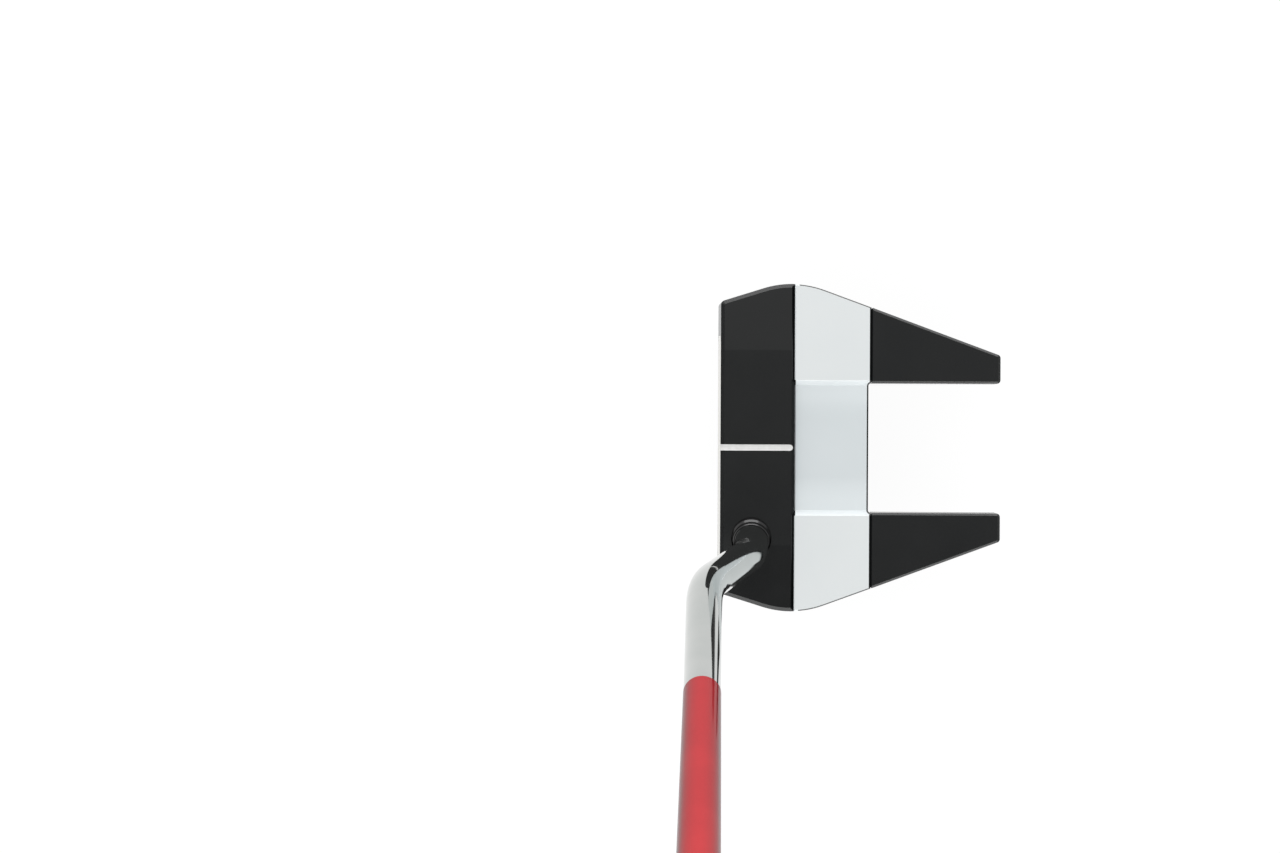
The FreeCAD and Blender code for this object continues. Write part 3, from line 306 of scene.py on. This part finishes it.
def polished_chrome():
    """Bright steel with faint lengthwise polishing marks."""
    s = Shader("polished_chrome")
    wipe = s.noise(1.0, 3.0, s.stretched((600.0, 600.0, 60.0)))
    colour = s.ramp(s.noise(60.0), ((0.3, (0.475, 0.495, 0.482)), (0.7, (0.51, 0.525, 0.512))))
    rough = s.to_range(wipe, 0.035, 0.075)
    return s.set(colour=colour, metallic=1.0, roughness=rough, normal=s.bump(wipe, 0.000004, 0.4))


def red_tube():
    """Candy red: flaked metallic that deepens where it turns away, under a thin clear coat."""
    s = Shader("red_tube")
    flakes = s.voronoi(6500.0)
    sparkle = s.ramp(flakes, ((0.15, (0.95, 0.085, 0.095)), (0.55, (0.83, 0.065, 0.075))))
    broad = s.ramp(s.noise(45.0, 3.0), ((0.3, 0.92), (0.7, 1.0)))
    return s.set(
        colour=s.mix(1.0, sparkle, broad, "MULTIPLY"),
        metallic=1.0,
        roughness=s.to_range(s.noise(70.0, 3.0), 0.26, 0.34),
        normal=s.bump(s.noise(700.0), 0.000006, 0.4),
        specular=0.05,
        tint=(0.06, 0.3, 0.3),
        coat=0.5,
        coat_roughness=0.05,
        coat_ior=1.3,
    )


def black_polymer(name, base, grain_scale, depth, rough):
    """Moulded rubber, plastic or foam, by its shade, grain and least and greatest roughness."""
    s = Shader(name)
    dark = (base, base, base * 1.02)
    colour = s.ramp(s.noise(140.0, 4.0), ((0.3, dark), (0.7, base * 1.6)))
    return s.set(
        colour=colour,
        roughness=s.to_range(s.noise(200.0), *rough),
        normal=s.bump(s.noise(grain_scale, 3.0), depth, 0.6),
    )


def turned_steel(name, base, rough):
    """Machined stainless: fine tool marks."""
    s = Shader(name)
    marks = s.noise(1.0, 3.0, s.stretched((400.0, 400.0, 9000.0)))
    dark = (base, base, base * 1.01)
    colour = s.ramp(s.noise(220.0, 3.0), ((0.3, dark), (0.7, base * 1.15)))
    return s.set(
        colour=colour,
        metallic=1.0,
        roughness=s.to_range(marks, rough - 0.06, rough + 0.08),
        normal=s.bump(marks, 0.000008, 0.5),
    )


def paper_tape():
    """Buff paper, seen only where the grip is taken off."""
    s = Shader("paper_tape")
    colour = s.ramp(s.noise(500.0, 5.0), ((0.3, (0.56, 0.50, 0.36)), (0.7, (0.66, 0.60, 0.46))))
    return s.set(colour=colour, roughness=0.8, normal=s.bump(s.noise(3000.0), 0.00003))


def paint(node, material):
    """Give every slot of a node one material."""
    materials = frame["nodes"][node].data.materials
    if not materials:
        materials.append(material)
    for place in range(len(materials)):
        materials[place] = material


satin = black_satin("bar_black")
wing_satin = black_satin("wing_black", 1.05)
polymer = black_polymer("collar_polymer", 0.006, 2600.0, 0.000006, (0.18, 0.24))
steel = turned_steel("screw_steel", 0.30, 0.34)
grip_rubber = black_polymer("grip_rubber", 0.013, 1900.0, 0.00003, (0.52, 0.68))
cap_rubber = black_polymer("cap_rubber", 0.017, 1500.0, 0.00002, (0.45, 0.6))
seal_rubber = black_polymer("seal_rubber", 0.010, 1500.0, 0.00001, (0.4, 0.5))
LOOKS = {
    "front_body": satin,
    "face_insert": urethane(),
    "insert_core": firm_core(),
    "sight_line": sight_paint(),
    "shaft_collar": polymer,
    "centre_bridge": bridge_finish(),
    "toe_wing": wing_satin,
    "heel_wing": wing_satin,
    "bridge_screws": steel,
    "wing_screws": steel,
    "toe_weight": turned_steel("weight_steel", 0.55, 0.26),
    "heel_weight": turned_steel("weight_steel_heel", 0.55, 0.26),
    "toe_weight_seal": seal_rubber,
    "heel_weight_seal": seal_rubber,
    "shaft_tip": polished_chrome(),
    "tip_plug": polymer,
    "shaft_tube": red_tube(),
    "butt_weight": steel,
    "grip_tape": paper_tape(),
    "grip_core": black_polymer("grip_foam", 0.03, 3000.0, 0.00005, (0.8, 0.9)),
    "grip_skin": grip_rubber,
    "grip_cap": grip_rubber,
}
for node, material in LOOKS.items():
    paint(node, material)


# ---- Edges ---------------------------------------------------------------------------------------
EDGE_ROUND = 0.00016
EDGE_ANGLE = math.radians(28.0)


def soften(node, width):
    """Break the node's sharp edges, as tumbling and coating do."""
    bevel = frame["nodes"][node].modifiers.new("broken_edges", "BEVEL")
    bevel.width = width
    bevel.segments = 2
    bevel.limit_method = "ANGLE"
    bevel.angle_limit = EDGE_ANGLE
    bevel.use_clamp_overlap = True
    bevel.harden_normals = True


for node in ("front_body", "toe_wing", "heel_wing"):
    soften(node, EDGE_ROUND)


# ---- Grip ----------------------------------------------------------------------------------------
# The skin, and how finely its outline is read and its pattern is cut.
GRIP_LENGTH = 0.267
SKIN_THICKNESS = 0.0012
PROBE = 0.04
AROUND = 144
LENGTHWISE = 534
GUIDES = 134
GUIDE_MARGIN = 0.0004
MOUTH_ROUND = 0.0009
# The pattern's stretch, its panels by the cosine from the front, and its dimples and ribs.
PATTERN_START = 0.012
PATTERN_END = 0.255
PATTERN_FADE = 0.004
FRONT_PANEL = 0.80
BACK_PANEL = 0.25
SIDE_FADE = 0.20
DIMPLE_PITCH = 0.0036
DIMPLE_TURN = math.radians(15.0)
DIMPLE_SHARE = 0.36
DIMPLE_DEPTH = 0.00045
RIB_PITCH = 0.0042
RIB_LEAN = 1.6
RIB_SHARE = 0.42
RIB_DEPTH = 0.0006
# The butt cap. Its face has rings of (share of the outline, dip), its vent (radius, dip).
CAP_HEIGHT = 0.0031
CAP_ROUND = 0.0012
CAP_SEAT = 0.00002
CAP_PLUG = 0.0089
CAP_STEPS = 6
CAP_PROBE = 0.3
PLUG_RADIUS = 0.0063
CAP_FACE = ((0.94, 0.0), (0.78, 0.0), (0.765, 0.0005), (0.715, 0.0005), (0.70, 0.0), (0.45, 0.0))
CAP_VENT = ((0.0035, 0.0), (0.0018, 0.00002), (0.0013, 0.0005))
SHAFT_UP = Vector((0.0, -math.cos(LIE), math.sin(LIE)))
GRIP_RIGHT = Vector((1.0, 0.0, 0.0))
GRIP_FRONT = SHAFT_UP.cross(GRIP_RIGHT)


def mount_place(name):
    """Where the record has a mount."""
    places = {mount["name"]: mount["pos_m"] for mount in frame["record"]["mounts"]}
    return Vector(places[name])


def along(distance):
    """A point on the shaft's axis, measured up from the grip's mouth."""
    return mount_place("hand_grip") + SHAFT_UP * (distance - GRIP_LENGTH / 2)


def bearing(angle):
    """Across the grip: 0 is +X, and 90 degrees its flat front, which faces up and to the toe."""
    return GRIP_RIGHT * math.cos(angle) + GRIP_FRONT * math.sin(angle)


def node_tree(node):
    """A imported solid's faces, for rays to meet."""
    mesh = bmesh.new()
    mesh.from_mesh(frame["nodes"][node].data)
    tree = BVHTree.FromBMesh(mesh)
    mesh.free()
    return tree


def outer_radius(tree, centre, direction):
    """How far the solid reaches from a point on the axis, found from outside it."""
    start = centre + direction * PROBE
    hit = tree.ray_cast(start, -direction, PROBE)[0]
    return (hit - centre).length


def skin_relief(distance, angle):
    """Depth of the moulded pattern: ribs across the rounded back, dimples on the flat front."""
    margin = min(distance - PATTERN_START, PATTERN_END - distance)
    if margin <= 0.0:
        return 0.0
    fade = min(1.0, margin / PATTERN_FADE)
    front = math.cos(angle - math.pi / 2)
    if front > FRONT_PANEL:
        row = distance / DIMPLE_PITCH
        shift = 0.5 * (math.floor(row) % 2)
        column = (angle - math.pi / 2) / DIMPLE_TURN + shift
        offset = math.hypot((row % 1.0) - 0.5, (column % 1.0) - 0.5)
        return DIMPLE_DEPTH * fade * max(0.0, 1.0 - (offset / DIMPLE_SHARE) ** 2)
    if front < BACK_PANEL:
        slant = distance / RIB_PITCH + abs(math.sin(angle - math.pi / 2)) * RIB_LEAN
        groove = abs((slant % 1.0) - 0.5) * 2.0
        side = min(1.0, (BACK_PANEL - front) / SIDE_FADE)
        return RIB_DEPTH * fade * side * max(0.0, 1.0 - groove / RIB_SHARE)
    return 0.0


def mouth_drop(distance):
    """How far the rounded rim at the grip's mouth lies inside its outline."""
    short = max(0.0, MOUTH_ROUND - distance)
    return MOUTH_ROUND - math.sqrt(max(0.0, MOUTH_ROUND**2 - short**2))


def ring_mesh(name, rings):
    """A closed skin of quads between rings of equal count; the last ring joins the first."""
    count = len(rings[0])
    points = [point for ring in rings for point in ring]
    faces = []
    for step in range(len(rings)):
        low = step * count
        high = ((step + 1) % len(rings)) * count
        for place in range(count):
            after = (place + 1) % count
            faces.append((low + place, low + after, high + after, high + place))
    mesh = bpy.data.meshes.new(name)
    mesh.from_pydata(points, [], faces)
    shape = bmesh.new()
    shape.from_mesh(mesh)
    bmesh.ops.recalc_face_normals(shape, faces=shape.faces)
    shape.to_mesh(mesh)
    shape.free()
    mesh.polygons.foreach_set("use_smooth", [True] * len(mesh.polygons))
    piece = bpy.data.objects.new(name, mesh)
    scene.collection.objects.link(piece)
    return piece


def build_grip_skin():
    """The moulded skin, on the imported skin's own outline, with its pattern cut in."""
    tree = node_tree("grip_skin")
    angles = [2 * math.pi * step / AROUND for step in range(AROUND)]
    guides = []
    for step in range(GUIDES + 1):
        distance = GUIDE_MARGIN + (GRIP_LENGTH - 2 * GUIDE_MARGIN) * step / GUIDES
        guides.append([outer_radius(tree, along(distance), bearing(angle)) for angle in angles])
    rings = []
    for step in range(LENGTHWISE + 1):
        distance = GRIP_LENGTH * step / LENGTHWISE
        place = (distance - GUIDE_MARGIN) / (GRIP_LENGTH - 2 * GUIDE_MARGIN) * GUIDES
        low = min(max(int(place), 0), GUIDES - 1)
        share = min(max(place - low, 0.0), 1.0)
        ring = []
        for number, angle in enumerate(angles):
            radius = guides[low][number] * (1 - share) + guides[low + 1][number] * share
            radius -= mouth_drop(distance) + skin_relief(distance, angle)
            ring.append(along(distance) + bearing(angle) * radius)
        rings.append(ring)
    for distance, outline in ((GRIP_LENGTH, guides[-1]), (0.0, guides[0])):
        ring = []
        for radius, angle in zip(outline, angles):
            ring.append(along(distance) + bearing(angle) * (radius - SKIN_THICKNESS))
        rings.append(ring)
    skin = ring_mesh("grip_moulded_skin", rings)
    skin.data.materials.append(grip_rubber)
    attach(skin, "putter")
    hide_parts("grip_skin")


def build_grip_cap():
    """The butt cap: rounded rim, a pressed ring and the vent, over its plug in the tube."""
    tree = node_tree("grip_cap")
    angles = [2 * math.pi * step / AROUND for step in range(AROUND)]
    level = along(GRIP_LENGTH + CAP_HEIGHT * CAP_PROBE)
    outline = [outer_radius(tree, level, bearing(angle)) for angle in angles]

    def ring(height, inset=0.0, share=1.0, circle=None):
        centre = along(GRIP_LENGTH + height)
        if circle is not None:
            return [centre + bearing(angle) * circle for angle in angles]
        return [centre + bearing(a) * ((outline[n] - inset) * share) for n, a in enumerate(angles)]

    rings = [ring(CAP_SEAT), ring(CAP_HEIGHT - CAP_ROUND)]
    for step in range(1, CAP_STEPS + 1):
        turn = math.pi / 2 * step / CAP_STEPS
        height = CAP_HEIGHT - CAP_ROUND + CAP_ROUND * math.sin(turn)
        rings.append(ring(height, CAP_ROUND * (1 - math.cos(turn))))
    for share, dip in CAP_FACE:
        rings.append(ring(CAP_HEIGHT - dip, CAP_ROUND, share))
    for radius, dip in CAP_VENT:
        rings.append(ring(CAP_HEIGHT - dip, circle=radius))
    rings.append(ring(-CAP_PLUG, circle=CAP_VENT[-1][0]))
    rings.append(ring(-CAP_PLUG, circle=PLUG_RADIUS))
    rings.append(ring(CAP_SEAT, circle=PLUG_RADIUS))
    cap = ring_mesh("grip_moulded_cap", rings)
    cap.data.materials.append(cap_rubber)
    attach(cap, "putter")
    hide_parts("grip_cap")


build_grip_skin()
build_grip_cap()


# ---- Stage ---------------------------------------------------------------------------------------
FLOOR_DROP = 0.012
FLOOR_HALF = 60.0
FLOOR_GLOW = 0.92
# The tent's strength: up to the horizon's, and overhead from the heel's side to the toe's.
TENT = 0.82
HORIZON = 1.0
HORIZON_BLEND = 0.30
OVERHEAD_START = 0.955
OVERHEAD_FULL = 0.985
OVERHEAD_SPREAD = 0.12
OVERHEAD_HEEL = 0.0
OVERHEAD_TOE = 0.80
# The two soft boxes, and the two black cards.
SIDE_BOX_SIZE = (1.8, 0.8)
SIDE_BOX_PLACE = 1.6
SIDE_BOX_HEIGHT = 0.36
SIDE_BOX_AIM = (0.0, 0.0, 0.10)
TOE_RADIANCE = 3.6
HEEL_RADIANCE = 3.2
FLAG_PLACE = 1.1
FLAG_HALF = 0.55
FLAG_TOP = 0.34


def flat_card(name, corners, material):
    """One flat quad that belongs to the stage."""
    mesh = bpy.data.meshes.new(name)
    mesh.from_pydata(corners, [], [(0, 1, 2, 3)])
    mesh.materials.append(material)
    card = bpy.data.objects.new(name, mesh)
    scene.collection.objects.link(card)
    return card


def make_floor():
    """Plain and pale. It lies below the sole, so that the sole weights have room to come out."""
    s = Shader("pale_floor")
    colour = s.ramp(s.noise(3.0), ((0.3, 0.11), (0.7, 0.13)))
    s.set(colour=colour, roughness=0.9, specular=0.0)
    s.surface.inputs["Emission Color"].default_value = (1.0, 1.0, 1.0, 1.0)
    s.surface.inputs["Emission Strength"].default_value = FLOOR_GLOW
    half = FLOOR_HALF
    signs = ((-1, -1), (1, -1), (1, 1), (-1, 1))
    flat_card("floor", [(half * x, half * y, -FLOOR_DROP) for x, y in signs], s.material)


def make_flag(name, side):
    """A black card ahead of or behind the head: only glossy surfaces see it."""
    s = Shader(name + "_felt")
    s.set(colour=s.ramp(s.noise(40.0), ((0.3, 0.015), (0.7, 0.025))), roughness=0.9, specular=0.1)
    place = side * FLAG_PLACE
    low = [(place, y, -FLOOR_DROP) for y in (-FLAG_HALF, FLAG_HALF)]
    high = [(place, y, FLAG_TOP) for y in (FLAG_HALF, -FLAG_HALF)]
    card = flat_card(name, low + high, s.material)
    card.visible_camera = False
    card.visible_diffuse = False
    card.visible_shadow = False


def make_side_box(name, side, radiance):
    """A soft box beyond the toe or the heel, out of the camera's sight."""
    width, height = SIDE_BOX_SIZE
    light = bpy.data.lights.new(name, "AREA")
    light.shape = "RECTANGLE"
    light.size = width
    light.size_y = height
    light.energy = radiance * math.pi * width * height
    lamp = bpy.data.objects.new(name, light)
    lamp.location = (0.0, side * SIDE_BOX_PLACE, SIDE_BOX_HEIGHT)
    lamp.rotation_euler = (Vector(SIDE_BOX_AIM) - lamp.location).to_track_quat("-Z", "Y").to_euler()
    lamp.visible_camera = False
    scene.collection.objects.link(lamp)


def set_world():
    """A pale tent. Overhead, where the camera looks in, it is dimmer, and darkest to the heel."""
    world = bpy.data.worlds.new("tent")
    scene.world = world
    world.use_nodes = True
    tree = world.node_tree
    background = tree.nodes["Background"]
    facing = tree.nodes.new("ShaderNodeTexCoord").outputs["Generated"]
    split = tree.nodes.new("ShaderNodeSeparateXYZ")
    tree.links.new(facing, split.inputs["Vector"])

    def stretch(axis, from_low, from_high, low, high):
        node = tree.nodes.new("ShaderNodeMapRange")
        node.interpolation_type = "SMOOTHSTEP"
        ends = {"From Min": from_low, "From Max": from_high, "To Min": low, "To Max": high}
        for name, value in ends.items():
            node.inputs[name].default_value = value
        tree.links.new(split.outputs[axis], node.inputs["Value"])
        return node.outputs["Result"]

    mix = tree.nodes.new("ShaderNodeMix")
    mix.data_type = "FLOAT"
    inputs = {
        "A": stretch("Z", 0.0, HORIZON_BLEND, HORIZON, TENT),
        "B": stretch("Y", -OVERHEAD_SPREAD, OVERHEAD_SPREAD, OVERHEAD_HEEL, OVERHEAD_TOE),
        "Factor": stretch("Z", OVERHEAD_START, OVERHEAD_FULL, 0.0, 1.0),
    }
    for name, source in inputs.items():
        tree.links.new(source, mix.inputs[name])
    tree.links.new(mix.outputs["Result"], background.inputs["Strength"])
    background.inputs["Color"].default_value = (1.0, 1.0, 1.0, 1.0)


make_floor()
set_world()
make_side_box("toe_box", 1.0, TOE_RADIANCE)
make_side_box("heel_box", -1.0, HEEL_RADIANCE)
make_flag("front_flag", -1.0)
make_flag("rear_flag", 1.0)

# ---- Camera --------------------------------------------------------------------------------------
# Straight down on the head, from as high as a long lens needs.
CAMERA_HEIGHT = 1.593
SENSOR = 36.0
LENS = 163.125
CAMERA_FOOT = (-0.0035, 0.00562)
AIM = (-0.0323, 0.00562)
ROLL = math.radians(0.27)

camera_data = bpy.data.cameras.new("camera")
camera_data.sensor_width = SENSOR
camera_data.lens = LENS
camera_data.clip_start = 0.01
camera_data.clip_end = 50.0
camera = bpy.data.objects.new("camera", camera_data)
scene.collection.objects.link(camera)
eye = Vector((*CAMERA_FOOT, head_top + CAMERA_HEIGHT))
ahead = (Vector((*AIM, head_top)) - eye).normalized()
right = ahead.cross(Vector((0.0, 1.0, 0.0))).normalized()
up = right.cross(ahead).normalized()
turn = Matrix((right, up, -ahead)).transposed()
camera.matrix_world = Matrix.Translation(eye) @ turn.to_4x4() @ Matrix.Rotation(ROLL, 4, "Z")

scene.camera = camera
scene.view_settings.view_transform = "Standard"
